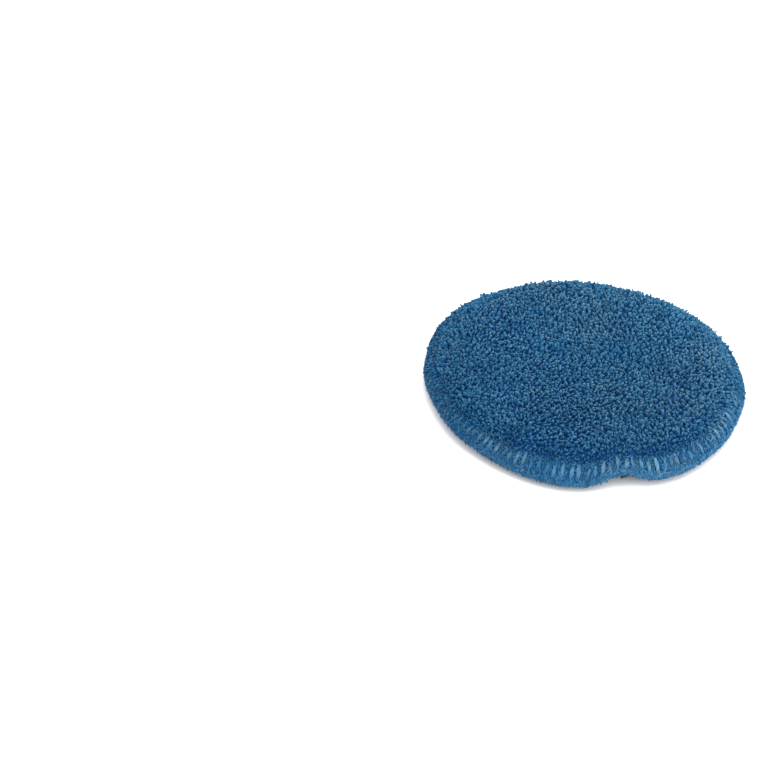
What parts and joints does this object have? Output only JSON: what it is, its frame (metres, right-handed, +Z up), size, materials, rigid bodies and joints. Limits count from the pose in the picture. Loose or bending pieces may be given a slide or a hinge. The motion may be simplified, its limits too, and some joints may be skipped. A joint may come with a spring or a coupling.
{
  "type": "polishing pad",
  "caption": "Round hand polishing and applicator pad: a foam disc between two discs of looped microfibre cloth, closed round the rim by an overlock seam.",
  "frame": {"origin": "on the resting surface, under the middle of the round pad", "axes": "+Z up, from the back face to the front face; the seam's start and end is on the -Y side, a little towards +X"},
  "size_m": [0.127, 0.127, 0.0136],
  "materials": {
    "foam": "matte",
    "ground_cloth": "matte",
    "loop_yarn": "matte",
    "seam_thread": "matte"
  },
  "bodies": {
    "root": {"foam_core": "foam", "front_ground_cloth": "ground_cloth", "back_ground_cloth": "ground_cloth", "front_loop_pile": "loop_yarn", "back_loop_pile": "loop_yarn", "overlock_needle_thread": "seam_thread", "overlock_upper_looper_thread": "seam_thread", "overlock_lower_looper_thread": "seam_thread", "overlock_chain_tail": "seam_thread"}
  },
  "joints": []
}
